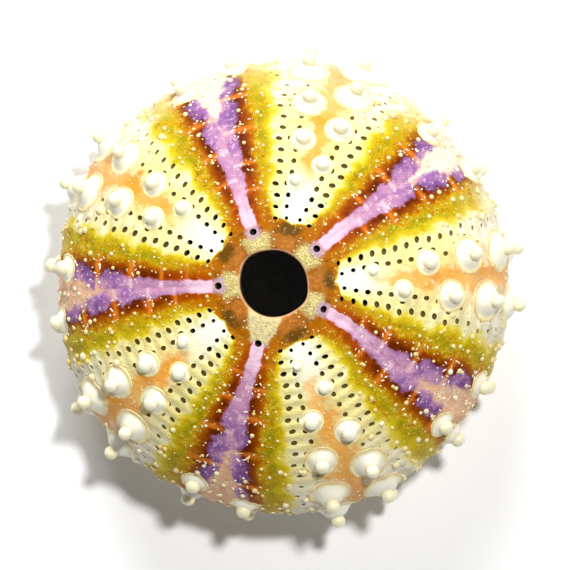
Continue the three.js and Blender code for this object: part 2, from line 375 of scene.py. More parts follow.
def pair_arcs():
    """Arcs of the pore pairs: even steps in radius on the crown, even steps in arc further down."""
    arcs = [PAIR_FIRST_ARC]
    while arcs[-1] < PAIR_LAST_ARC:
        slope = max(np.interp(arcs[-1], ARC, RUN_R), PAIR_RADIAL_STEP / PAIR_LONGEST_STEP)
        arcs.append(arcs[-1] + PAIR_RADIAL_STEP / slope)
    return np.array(arcs)


PAIR_ARCS = pair_arcs()


def pair_count(arc):
    """Running number of the pore pair at an arc."""
    return np.interp(arc, PAIR_ARCS, np.arange(len(PAIR_ARCS)))


def plate_count(arc):
    """Running number of the field plate at an arc."""
    return np.interp(arc, PLATE_ARCS, np.arange(len(PLATE_ARCS)))


def plate_place(arc, azimuth):
    """Running number of the plate at a place of a field, whole numbers being sutures; the column on
    the left is half a plate further on."""
    even = evened(azimuth)
    shift = PLATE_SHIFTS[(np.floor(even / SECTOR) % 5).astype(int)]
    return plate_count(arc) + shift + 0.5 * (even % SECTOR < SECTOR / 2)


def relief(arc, azimuth):
    """Height of the fine surface over the plain wall: sunk sutures between pillowed field plates,
    furrows that join the two pores of a pair, a sunk line along each band's axis, folds round the
    widest part, raised plates round the top hole."""
    turn = field_turn(arc, azimuth)
    from_axis = SECTOR / 2 - np.abs(turn)
    across = np.radians(turn) * reach(arc)
    plate = plate_place(arc, azimuth)
    nearness = np.abs(plate - np.round(plate)) * np.interp(arc, PLATE_ARCS[:-1], np.diff(PLATE_ARCS))
    in_field = smooth(*FIELD_RELIEF_ANGLES, from_axis) * smooth(*FIELD_RELIEF_ARCS, arc)
    sutures = np.maximum(hump(nearness, 0.0, SUTURE_WIDTH), hump(across, 0.0, MIDDLE_SUTURE_WIDTH))
    pillow = in_field * (PLATE_PILLOW - SUTURE_DEPTH * sutures)
    in_pores = smooth(*FURROW_INNER_ANGLES, from_axis) * (1 - smooth(*FURROW_OUTER_ANGLES, from_axis))
    in_pores = in_pores * smooth(*FURROW_ARCS, arc)
    furrow_depth = FURROW_DEPTH - FURROW_FALL * smooth(*FURROW_FALL_ARCS, arc)
    furrows = in_pores * furrow_depth * -np.cos(2 * np.pi * pair_count(arc))
    axis_dip = -AXIS_DIP * hump(from_axis, 0.0, AXIS_DIP_ANGLE) * smooth(*AXIS_DIP_ARCS, arc)
    round_side = smooth(*FOLD_START_ARCS, arc) * (1 - smooth(*FOLD_END_ARCS, arc))
    wave_size, wave_count = FOLD_WAVE
    lean = azimuth + wave_size * np.sin(np.radians(azimuth * wave_count))
    lean = lean + FOLD_LEAN * (arc - FOLD_MIDDLE_ARC) * np.sign(turn)
    folds = round_side * FOLD_HEIGHT * (0.5 - np.abs(np.sin(np.radians(lean * FOLD_COUNT))))
    ring = 1 - smooth(*TOP_PLATE_ARCS, arc)
    groove_arc, groove_width, groove_depth = TOP_GROOVE
    groove = groove_depth * hump(arc, groove_arc, groove_width) * (from_axis < TOP_GROOVE_ANGLE)
    plates = ring * (TOP_PLATE_HEIGHT * hump(turn, 0.0, TOP_PLATE_ANGLE) - PLATE_PILLOW) - groove
    lip = -LIP_DIP * hump(arc, TOP_HOLE_RADIUS, LIP_WIDTH)
    return pillow + furrows + axis_dip + folds + plates + lip


def skin(arc, azimuth, lift=0.0):
    """The wall with its fine relief."""
    return wall(arc, azimuth, relief(arc, azimuth) + lift)


def grid_quads(rows, columns, rows_join=False):
    """Corner numbers of a grid's quads; the columns join up, and the rows do if asked."""
    row = np.arange(rows if rows_join else rows - 1)[:, None]
    column = np.arange(columns)[None, :]
    after = (column + 1) % columns
    below = (row + 1) % rows
    corners = (row * columns + column, below * columns + column,
               below * columns + after, row * columns + after)
    return np.stack([np.broadcast_to(c, (row.size, columns)) for c in corners], axis=-1).reshape(-1, 4)


def make_mesh(name, points, *polygons):
    """Smooth mesh from points in millimetres and arrays of polygons, each array of one kind."""
    corners = np.concatenate([p.ravel() for p in polygons])
    sizes = np.concatenate([np.full(len(p), p.shape[1]) for p in polygons])
    mesh = bpy.data.meshes.new(name)
    mesh.vertices.add(len(points))
    mesh.vertices.foreach_set("co", (points * MM).ravel())
    mesh.loops.add(len(corners))
    mesh.loops.foreach_set("vertex_index", corners.astype(np.int32))
    mesh.polygons.add(len(sizes))
    mesh.polygons.foreach_set("loop_start", np.concatenate([[0], np.cumsum(sizes)[:-1]]).astype(np.int32))
    mesh.update(calc_edges=True)
    mesh.validate()
    mesh.shade_smooth()
    return mesh


def place(name, mesh):
    """Object of a mesh, riding on the shell's one body."""
    piece = bpy.data.objects.new(name, mesh)
    bpy.context.scene.collection.objects.link(piece)
    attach(piece, "root")
    return piece


def store(mesh, name, values, domain="POINT"):
    """A number at every point or corner, for the material."""
    layer = mesh.attributes.new(name, "FLOAT", domain)
    layer.data.foreach_set("value", np.ascontiguousarray(values, dtype=np.float32))


def pore_list():
    """All holes as rows of arc, azimuth, half width along the wall's round and along the arc, tilt.
    The inner pore of a pair keeps clear of the knobs, and the outer one keeps clear of the inner."""
    rows = []
    for band, azimuth in enumerate(BAND_AZIMUTHS):
        for side in (-1, 1):
            phase = 0.5 * ((band * 2 + side) % 3) / 3
            arcs = np.interp(np.arange(len(PAIR_ARCS) - 1) + phase, np.arange(len(PAIR_ARCS)), PAIR_ARCS)
            mm = np.radians(1.0) * reach(arcs)
            inner = np.interp(arcs, *INNER_PORE_ANGLES) * mm
            for at, turn, size, kind in KNOBS:
                offset = angle_between(turn, azimuth) * side
                if kind == 0 and 0 < offset < SECTOR / 4:
                    clear = (PORE_KNOB_CLEARANCE * size) ** 2 - (arcs - at) ** 2
                    clear = np.sqrt(np.clip(clear, 0.0, None))
                    bump = np.where(clear > 0, offset * mm + clear, 0.0)
                    inner = np.maximum(inner, bump)
            outer = np.maximum(np.interp(arcs, *OUTER_PORE_ANGLES) * mm, inner + PAIR_WIDTH)
            width = np.interp(arcs, *PORE_WIDTHS)
            for arc, near, far, across, size in zip(arcs, inner, outer, mm, width):
                rows.append((arc, azimuth + side * near / across, size, size * PORE_STRETCH, 0.0))
                rows.append((arc - OUTER_PORE_RAISE, azimuth + side * far / across,
                             size * OUTER_PORE_STRETCH, size, side * OUTER_PORE_TILT))
        egg_azimuth = azimuth + SECTOR / 2 + FIELD_BENDS[band]
        egg_arc = EGG_PORE_ARC + MADREPORE_EGG_SHIFT * (band == MADREPORE_SECTOR)
        rows.append((egg_arc, egg_azimuth, EGG_PORE_RADIUS, EGG_PORE_RADIUS, 0.0))
    return np.array(rows)


def pore_cutters():
    """One mesh of upright oval rods, one at each pore. All end within the wall; those near the top
    and those of the egg pores end just above its inside."""
    arc, azimuth, wide, tall, tilt = (column[:, None, None] for column in pore_list().T)
    angle = (np.arange(PORE_SIDES) * 2 * np.pi / PORE_SIDES)[None, None, :]
    depth = np.where(wide == EGG_PORE_RADIUS, PORE_DEPTHS[1][0], np.interp(arc, *PORE_DEPTHS))
    lift = np.array([ROD_TOP, -1.0])[None, :, None] * np.concatenate([1 + 0 * depth, depth], axis=1)
    u = wide * np.cos(angle) * np.cos(tilt) + tall * np.sin(angle) * np.sin(tilt)
    v = wide * np.cos(angle) * np.sin(tilt) - tall * np.sin(angle) * np.cos(tilt)
    ring_azimuth = azimuth + np.degrees(u / reach(arc))
    points = wall(arc + v + 0 * lift, ring_azimuth + 0 * lift, lift + 0 * v)
    count = len(points)
    base = np.arange(count)[:, None, None] * 2 * PORE_SIDES
    sides = base + grid_quads(2, PORE_SIDES)[None]
    top = base[:, 0] + np.arange(PORE_SIDES)[None]
    bottom = base[:, 0] + PORE_SIDES + np.arange(PORE_SIDES)[None, ::-1]
    return make_mesh("pores", points.reshape(-1, 3), sides.reshape(-1, 4), top, bottom)


def wall_rows():
    """Arc and lift of each row of the closed wall: outside, mouth edge, inside, top edge."""
    along, deep = MOUTH_ROUNDING
    ends = [stretch[0] for stretch in WALL_STRETCHES[1:]] + [MOUTH_ARC - along]
    outer = np.concatenate([np.arange(first, end - step * 0.5, step)
                            for (first, step), end in zip(WALL_STRETCHES, ends)])
    edge = np.radians(np.array([0.0, 30.0, 60.0, 90.0]))
    mouth_arc = MOUTH_ARC - along + along * np.sin(edge)
    mouth_lift = -deep * (1 - np.cos(edge))
    inner = np.arange(MOUTH_ARC - 0.1, TOP_HOLE_RADIUS + 0.3, -INNER_STEP)
    inner[-1] = TOP_HOLE_RADIUS + 0.12
    top_arc = np.array([TOP_HOLE_RADIUS, TOP_HOLE_RADIUS])
    arcs = np.concatenate([outer, mouth_arc, inner, top_arc])
    lifts = np.concatenate([np.zeros(len(outer)), mouth_lift, np.full(len(inner), -WALL_THICKNESS),
                            TOP_EDGE_LIFTS])
    return arcs, lifts


def section_place(points):
    """Arc, azimuth and lift of points near the wall: a first guess from the angle about the
    section's middle, then three steps along the outline towards the nearest place on it."""
    azimuth = np.degrees(np.arctan2(points[:, 1], points[:, 0]))
    radius = np.hypot(points[:, 0], points[:, 1])
    middle_r, middle_z = SECTION_MIDDLE
    known = np.arctan2(HEIGHT - middle_z, RADIUS - middle_r)
    arc = np.interp(-np.arctan2(points[:, 2] - middle_z, radius - middle_r), -known, ARC)
    for _ in range(SECTION_STEPS):
        off_r = radius - np.interp(arc, ARC, RADIUS)
        off_z = points[:, 2] - np.interp(arc, ARC, HEIGHT)
        run_r = np.interp(arc, ARC, RUN_R)
        run_z = np.interp(arc, ARC, RUN_Z)
        arc = np.clip(arc + off_r * run_r + off_z * run_z, 0.0, MOUTH_ARC)
    lift = off_z * run_r - off_r * run_z
    plain = band_rise(arc, azimuth)
    arc = arc - hole_shift(arc, azimuth) + mouth_shift(arc, azimuth)
    return arc, azimuth, lift - plain - relief(arc, azimuth)


def make_shell():
    """The wall as a grid of rows by azimuths, sunk under the knobs, with every pore cut into it."""
    arcs, lifts = wall_rows()
    azimuths = np.arange(WALL_COLUMNS) * 360.0 / WALL_COLUMNS
    arc, azimuth = np.meshgrid(arcs, azimuths, indexing="ij")
    lift = np.broadcast_to(lifts[:, None], arc.shape)
    outside = smooth(-0.3, -0.02, lift)
    sunk = -KNOB_SINK * (1 - smooth(*KNOB_SINK_SHARES, knob_share(arc, azimuth)))
    points = wall(arc, azimuth, lift + outside * (relief(arc, azimuth) + sunk))
    points[..., 2] = np.maximum(points[..., 2], GROUND_CLEARANCE)
    quads = grid_quads(len(arcs), WALL_COLUMNS, rows_join=True)
    whole = bpy.data.objects.new("whole", make_mesh("whole", points.reshape(-1, 3), quads))
    rods = bpy.data.objects.new("rods", pore_cutters())
    for solid in (whole, rods):
        bpy.context.scene.collection.objects.link(solid)
    cut = whole.modifiers.new("pores", "BOOLEAN")
    cut.operation = "DIFFERENCE"
    cut.solver = "MANIFOLD"
    cut.object = rods
    mesh = bpy.data.meshes.new_from_object(whole.evaluated_get(bpy.context.evaluated_depsgraph_get()))
    mesh.name = "urchin_wall"
    for solid in (whole, rods):
        bpy.data.meshes.remove(solid.data)
    mesh.set_sharp_from_angle(angle=np.radians(SHARP_ANGLE))
    mark_shell(mesh)
    return place("urchin_wall", mesh)


def mark_shell(mesh):
    """Where each corner of the mesh lies on the wall, for its material, and its place on the flat
    map: a disc for the outside, with the edges of the two openings next to it, and a small disc in
    a corner for the inside."""
    points = np.empty(len(mesh.vertices) * 3)
    mesh.vertices.foreach_get("co", points)
    arc, azimuth, lift = section_place(points.reshape(-1, 3) / MM)
    corner = np.empty(len(mesh.loops), dtype=np.int32)
    mesh.loops.foreach_get("vertex_index", corner)
    starts = np.empty(len(mesh.polygons), dtype=np.int32)
    mesh.polygons.foreach_get("loop_start", starts)
    sizes = np.diff(np.append(starts, len(corner)))
    depth = -lift[corner]
    spread = np.add.reduceat(np.exp(1j * np.radians(azimuth[corner])), starts)
    middle = np.degrees(np.angle(spread))
    even = evened(middle)
    sector = (np.floor(even / SECTOR) % 5).astype(int)
    local = angle_between(azimuth[corner], np.repeat(middle, sizes))
    turn = np.repeat(even % SECTOR - SECTOR / 2, sizes) + local
    turn = bent(arc[corner], turn, np.repeat(sector, sizes))
    shift = PLATE_SHIFTS[sector] + 0.5 * (even % SECTOR < SECTOR / 2)
    plate = plate_count(arc)[corner] + np.repeat(shift, sizes)
    store(mesh, "arc", arc[corner], "CORNER")
    store(mesh, "turn", turn, "CORNER")
    store(mesh, "sector", np.repeat(sector, sizes), "CORNER")
    store(mesh, "depth", depth, "CORNER")
    store(mesh, "plate", plate, "CORNER")
    store(mesh, "pair", pair_count(arc)[corner], "CORNER")
    inside = np.repeat(np.minimum.reduceat(depth, starts) > WALL_THICKNESS / 2, sizes)
    radius = np.interp(arc[corner], *FLAT_DISC)
    radius += depth * np.interp(arc[corner], *FLAT_EDGES)
    radius = np.where(inside, radius * FLAT_INSIDE, radius)
    home = np.where(inside, FLAT_INSIDE_PLACE, 0.5)
    direction = np.radians(azimuth[corner])
    flat_map(mesh, home + radius * np.cos(direction), home + radius * np.sin(direction))


def flat_map(mesh, across, up):
    """The mesh's map onto a flat square, one place for each corner."""
    layer = mesh.uv_layers.new(name="OFBake")
    layer.uv.foreach_set("vector", np.stack([across, up], axis=-1).astype(np.float32).ravel())


def ring_stack(name, points, tips, feet):
    """Mesh of many closed shapes, each a stack of rings with a point at the top and one underneath,
    none of it below the ground. On the flat map each shape is a disc in its own cell, its tip in the
    middle."""
    count, rows, columns = points.shape[:3]
    stride = rows * columns + 2
    base = np.arange(count)[:, None, None] * stride
    ring = np.arange(columns)
    after = (ring + 1) % columns
    last = (rows - 1) * columns
    top = np.stack([ring * 0 + rows * columns, ring, after], axis=-1)
    bottom = np.stack([ring * 0 + rows * columns + 1, last + after, last + ring], axis=-1)
    everything = np.concatenate([points.reshape(count, -1, 3), tips, feet], axis=1).reshape(-1, 3)
    everything[:, 2] = np.maximum(everything[:, 2], 0.0)
    mesh = make_mesh(name, everything, (base + grid_quads(rows, columns)[None]).reshape(-1, 4),
                     (base + np.concatenate([top, bottom])[None]).reshape(-1, 3))
    corner = np.empty(len(mesh.loops), dtype=np.int32)
    mesh.loops.foreach_get("vertex_index", corner)
    corner = np.where(corner % stride == stride - 1, np.roll(corner, -1), corner)
    cells = int(np.ceil(np.sqrt(count)))
    shape, local = corner // stride, corner % stride
    radius = np.where(local < rows * columns, (local // columns + 1) / rows, 0.0) * FLAT_CELL
    direction = 2 * np.pi * (local % columns) / columns
    flat_map(mesh, (shape % cells + 0.5 + radius * np.cos(direction)) / cells,
             (shape // cells + 0.5 + radius * np.sin(direction)) / cells)
    return mesh, stride


def knob_pieces(name, kind):
    """Knobs of one kind as closed turned shapes. Each is set upright on the wall at its middle,
    and its foot follows the wall: the profile's outer part takes the bend of the wall under it."""
    chosen = KNOBS[KNOBS[:, 3] == kind]
    arc, azimuth, size = (column[:, None, None] for column in chosen[:, :3].T)
    angle = (np.arange(KNOB_COLUMNS) * -2 * np.pi / KNOB_COLUMNS)[None, None, :]
    large = smooth(*PROFILE_SIZES, size)
    out = SMALL_PROFILE[None, :, 0, None] * (1 - large) + LARGE_PROFILE[None, :, 0, None] * large
    rise = SMALL_PROFILE[None, :, 1, None] * (1 - large) + LARGE_PROFILE[None, :, 1, None] * large
    u = size * out * np.cos(angle)
    v = size * out * np.sin(angle)
    middle = skin(arc, azimuth)
    turn = np.radians(azimuth)
    run_r, run_z = np.interp(arc, ARC, RUN_R), np.interp(arc, ARC, RUN_Z)
    round_way = np.stack([-np.sin(turn), np.cos(turn), 0 * turn], axis=-1)
    down_way = np.stack([run_r * np.cos(turn), run_r * np.sin(turn), run_z], axis=-1)
    out_way = np.stack([-run_z * np.cos(turn), -run_z * np.sin(turn), run_r], axis=-1)
    flat = middle + u[..., None] * round_way + v[..., None] * down_way
    draped = skin(arc + v, azimuth + np.degrees(u / reach(arc + v)))
    share = smooth(*KNOB_DRAPE_SHARES, out)[..., None]
    points = flat + (draped - flat) * share + (size * rise)[..., None] * out_way
    tips = points[:, :1].mean(axis=2) + KNOB_TIP_RISE * size * out_way[:, 0]
    mesh, stride = ring_stack(name, points, tips, points[:, -1:].mean(axis=2))
    step = np.append(np.repeat(np.arange(len(LARGE_PROFILE)), KNOB_COLUMNS), [0, len(LARGE_PROFILE) - 1])
    store(mesh, "step", np.tile(step, len(chosen)))
    store(mesh, "arc", np.repeat(chosen[:, 0], stride))
    store(mesh, "size", np.repeat(chosen[:, 2], stride))
    return place(name, mesh)


def granule_list(groups, draw):
    """Granules of some groups, on jittered grids over both halves of the five fields and bands, as
    rows of arc, azimuth, half width, paleness, stretch and direction; clear of knobs and pores."""
    rows = []
    jitter_along, jitter_across = GRANULE_JITTER
    top_clearance, mouth_clearance = GRANULE_EDGE_CLEARANCES
    for first, last, along, near, far, beside, small, big, growth, pale, stretch in groups:
        arcs, turns = np.meshgrid(np.linspace(first, last, along), np.linspace(near, far, beside))
        arcs = np.tile(arcs.ravel(), 2 * len(BAND_AZIMUTHS))
        turns = np.tile(turns.ravel(), 2 * len(BAND_AZIMUTHS))
        side = np.tile(np.repeat([-1.0, 1.0], along * beside), len(BAND_AZIMUTHS))
        middle = np.repeat(BAND_AZIMUTHS + SECTOR / 2, 2 * along * beside)
        arcs = arcs + draw.uniform(-jitter_along, jitter_along, arcs.shape) * (last - first) / along
        turns = turns + draw.uniform(-jitter_across, jitter_across, arcs.shape) * (far - near) / beside
        sizes = draw.uniform(small, big, arcs.shape) * (1 + growth * smooth(*GRANULE_GROWTH_ARCS, arcs))
        spread = 1 + GRANULE_SPREAD * (1 - smooth(*GRANULE_SPREAD_ARCS, arcs))
        azimuths = middle + side * turns * spread
        stretches = 1 + (stretch - 1) * draw.uniform(0.3, 1.0, arcs.shape)
        plate = plate_place(arcs, azimuths)
        nearness = np.abs(plate - np.round(plate))
        gathered = smooth(*GRANULE_SUTURE_SHARES, nearness) if stretch > 1 else 1.0
        kept = draw.uniform(size=arcs.shape) < GRANULE_KEPT_SHARE * gathered
        ways = draw.uniform(0.0, np.pi, arcs.shape)
        rows.append(np.stack([arcs, azimuths, sizes, pale + 0 * arcs, stretches, ways])[:, kept])
    rows = np.concatenate(rows, axis=1)
    arc, azimuth, size = rows[:3]
    free = knob_share(arc, azimuth) > GRANULE_KNOB_CLEARANCE
    free &= (arc > TOP_HOLE_RADIUS + top_clearance) & (arc < MOUTH_ARC - mouth_clearance)
    for at, turn, wide, _, _ in pore_list():
        away = np.hypot(arc - at, np.radians(angle_between(azimuth, turn)) * reach(arc))
        free &= away > wide * GRANULE_PORE_CLEARANCE + size
    return rows[:, free].T


def granule_piece(name, groups, shape, seed):
    """Small closed domes, their feet sunk in the wall. Each is rings of a squashed ball: at an angle
    from its tip the ring is the half width times the sine across and the height times the cosine up."""
    rows = granule_list(groups, np.random.default_rng(seed))
    arc, azimuth, size, pale, stretch, way = (column[:, None, None] for column in rows.T)
    columns, rings = shape
    angle = (np.arange(columns) * -2 * np.pi / columns)[None, None, :]
    ring = np.radians(rings)[None, :, None]
    long_way = size * stretch * np.sin(ring) * np.cos(angle)
    short_way = size * np.sin(ring) * np.sin(angle)
    u = long_way * np.cos(way) - short_way * np.sin(way)
    v = long_way * np.sin(way) + short_way * np.cos(way)
    ground = relief(arc, azimuth)
    lift = ground + size * GRANULE_HEIGHT * np.cos(ring) + 0 * v
    points = wall(arc + v, azimuth + np.degrees(u / reach(arc)), lift)
    tips = wall(arc[:, 0], azimuth[:, 0], (ground + size * GRANULE_HEIGHT)[:, 0])
    feet = wall(arc[:, 0], azimuth[:, 0], (ground - size * GRANULE_FOOT)[:, 0])
    mesh, stride = ring_stack(name, points, tips, feet)
    store(mesh, "pale", np.repeat(pale.ravel(), stride))
    store(mesh, "arc", np.repeat(arc.ravel(), stride))
    return place(name, mesh)


class Tap:
    """A shader socket in arithmetic: each operator adds one Math node behind it."""

    def __init__(self, paint, socket):
        self.paint = paint
        self.socket = socket

    def math(self, operation, *others):
        values = dict(enumerate([self, *others]))
        return self.paint.add("ShaderNodeMath", {"operation": operation}, values)

    def __add__(self, other):
        return self.math("ADD", other)

    def __radd__(self, other):
        return self.math("ADD", other)

    def __sub__(self, other):
        return self.math("SUBTRACT", other)

    def __rsub__(self, other):
        return self.math("MULTIPLY_ADD", -1.0, other)

    def __mul__(self, other):
        return self.math("MULTIPLY", other)

    def __rmul__(self, other):
        return self.math("MULTIPLY", other)

    def __truediv__(self, other):
        return self.math("DIVIDE", other)

    def __abs__(self):
        return self.math("ABSOLUTE")

    def rise(self, low, high):
        """Goes from 0 at low to 1 at high along a cubic; falls if low is above high."""
        if low > high:
            return 1.0 - self.rise(high, low)
        settings = {"interpolation_type": "SMOOTHSTEP"}
        return self.paint.add("ShaderNodeMapRange", settings, {0: self, 1: low, 2: high})

    def hump(self, middle, width):
        """A smooth peak of height 1 about the middle, down to 0 a width away."""
        return abs(self - middle).rise(width, 0.0)

    def cosine(self):
        return self.math("COSINE")

    def fraction(self):
        return self.math("FRACT")

    def atop(self, other):
        return self.math("MAXIMUM", other)

    def within(self, other):
        return self.math("MINIMUM", other)


class Paint:
    """One material and the nodes in it."""

    def __init__(self, name):
        self.material = bpy.data.materials.new(name)
        self.material.use_nodes = True
        self.tree = self.material.node_tree
        self.tree.nodes.clear()

    def add(self, kind, settings, values, output=0):
        """A node of a type: its settings first, then values or links on its sockets."""
        node = self.tree.nodes.new(kind)
        for key, value in settings.items():
            setattr(node, key, value)
        for key, value in values.items():
            if isinstance(value, Tap):
                self.tree.links.new(value.socket, node.inputs[key])
            else:
                node.inputs[key].default_value = value
        return Tap(self, node.outputs[output])

    def read(self, name):
        """A number stored on the mesh."""
        return self.add("ShaderNodeAttribute", {"attribute_name": name}, {}, "Fac")

    def mix(self, share, below, above):
        """One colour over another."""
        return self.add("ShaderNodeMix", {"data_type": "RGBA"}, {0: share, 6: below, 7: above}, 2)

    def noise(self, size, detail=2.0, shift=0.0):
        """Cloudy noise about 0, with lumps of a size in millimetres."""
        here = self.add("ShaderNodeTexCoord", {}, {}, "Object")
        moved = self.add("ShaderNodeVectorMath", {"operation": "ADD"}, {0: here, 1: (shift, shift, shift)})
        values = {"Vector": moved, "Scale": 1.0 / (size * MM), "Detail": detail}
        values["Roughness"] = NOISE_ROUGHNESS
        return self.add("ShaderNodeTexNoise", {}, values, "Fac") - 0.5

    def bump(self, height, distance, strength=1.0):
        """A bump of a height field; the distance is in millimetres."""
        values = {"Height": height, "Distance": distance * MM, "Strength": strength}
        return self.add("ShaderNodeBump", {}, values)

    def finish(self, colour, roughness, normal, **fixed):
        """The surface: what varies is linked, what is the same all over is set on its socket."""
        values = {"Base Color": colour, "Roughness": roughness, "Normal": normal, **fixed}
        shader = self.add("ShaderNodeBsdfPrincipled", {}, values)
        out = self.tree.nodes.new("ShaderNodeOutputMaterial")
        self.tree.links.new(shader.socket, out.inputs["Surface"])
        return self.material


def ink(code):
    """Colour of a six-digit code, in linear light."""
    shares = [int(code[i:i + 2], 16) / 255 for i in (0, 2, 4)]
    return tuple(s / 12.92 if s <= 0.04045 else ((s + 0.055) / 1.055) ** 2.4 for s in shares) + (1.0,)


WHITE = ink("FFFDEA")
IVORY = ink("F6F1DE")
CREAM = ink("F7EAA0")
LEMON = ink("F0DC60")
FURROW_SHADE = ink("D6C470")
YELLOW = ink("D6BE18")
GOLD = ink("C89F0C")
OLIVE = ink("968C06")
MOSS = ink("5E4E02")
AMBER = ink("B06602")
RUST = ink("AC4A02")
MAROON = ink("541A02")
SUTURE = ink("EC8A2C")
PALE_LILAC = ink("EEC8DA")
LILAC = ink("C490AE")
PURPLE = ink("9C6AA6")
VIOLET = ink("704482")
PEACH = ink("ECB890")
ORANGE = ink("F2A23A")
APRICOT = ink("E8A23E")
COPPER = ink("B8722C")
CREVICE_SHADE = ink("A8966A")
TAN = ink("BE6610")
BROWN = ink("8E5210")
PLATE_GREEN = ink("B9A85C")
PLATE_CREAM = ink("E6D898")
SHIELD = ink("CDBE94")
HALO = ink("BFA0AC")
UMBER = ink("57400C")
# Painted shade colours: pore walls, lower pore walls, the wall's inside and pit bottoms, the fold valleys.
PORE = ink("6A5A2A")
LOWER_PORE_SHADE = ink("A4935C")
DEEP_SHADE = ink("302A2C")
FOLD_SHADE = ink("D2C2A0")
BALL = ink("FAF2C8")
RIM = ink("E8B57C")
GRANULE = ink("EAD280")


def paint_band(p, arc, from_axis, pair, noises):
    """The white bands: pale core, cream sides with painted shade in the pore furrows, fold valleys and
    crevices, orange blush along the axis.
    """
    cloud, patch, grain, _ = noises
    base = p.mix(arc.rise(15.0, 22.0), CREAM, IVORY)
    core = (from_axis + patch * 6.0).rise(13.0, 6.0) * arc.rise(11.5, 6.5)
    base = p.mix(core.atop((patch + cloud).rise(0.0, 0.3) * 0.45), base, WHITE)
    comb = from_axis.rise(5.0, 8.0) * from_axis.rise(20.0, 16.0) * arc.rise(6.0, 10.0)
    # Painted shade: darker olive stripes across the pore rows, one to each pore pair, broken by noise.
    furrow_shade = (pair * (2 * np.pi)).cosine().rise(0.2, -1.0) * (0.5 + grain * 1.5 + patch * 1.5)
    base = p.mix(comb * furrow_shade * 0.6, base, FURROW_SHADE)
    # Painted shade of the folds round the widest part: greyish tan in cloudy patches.
    folds = arc.hump(24.0, 7.0) * (patch + cloud).rise(-0.1, 0.3) * 0.5
    base = p.mix(folds, base, FOLD_SHADE)
    # Painted shade: greyish tan in noise patches on the lower band sides, standing for shadow in crevices.
    crevice_shade = (patch + grain * 0.8).rise(0.1, 0.3) * arc.rise(15.5, 21.0) * from_axis.rise(4.0, 8.0)
    base = p.mix(crevice_shade * 0.6, base, CREVICE_SHADE)
    blush = (from_axis + patch * 14.0 + grain * 7.0).rise(6.2, 2.2) * (arc + cloud * 6.0).rise(8.8, 11.5)
    glow = p.mix((arc + patch * 12.0).rise(13.5, 19.0), ORANGE, APRICOT)
    base = p.mix(blush * arc.rise(30.0, 22.0) * (0.8 + cloud * 1.2), base, glow)
    warm = (from_axis + cloud * 8.0).rise(11.0, 4.0) * arc.rise(9.0, 13.0) * 0.3
    return p.mix(warm, base, ORANGE)


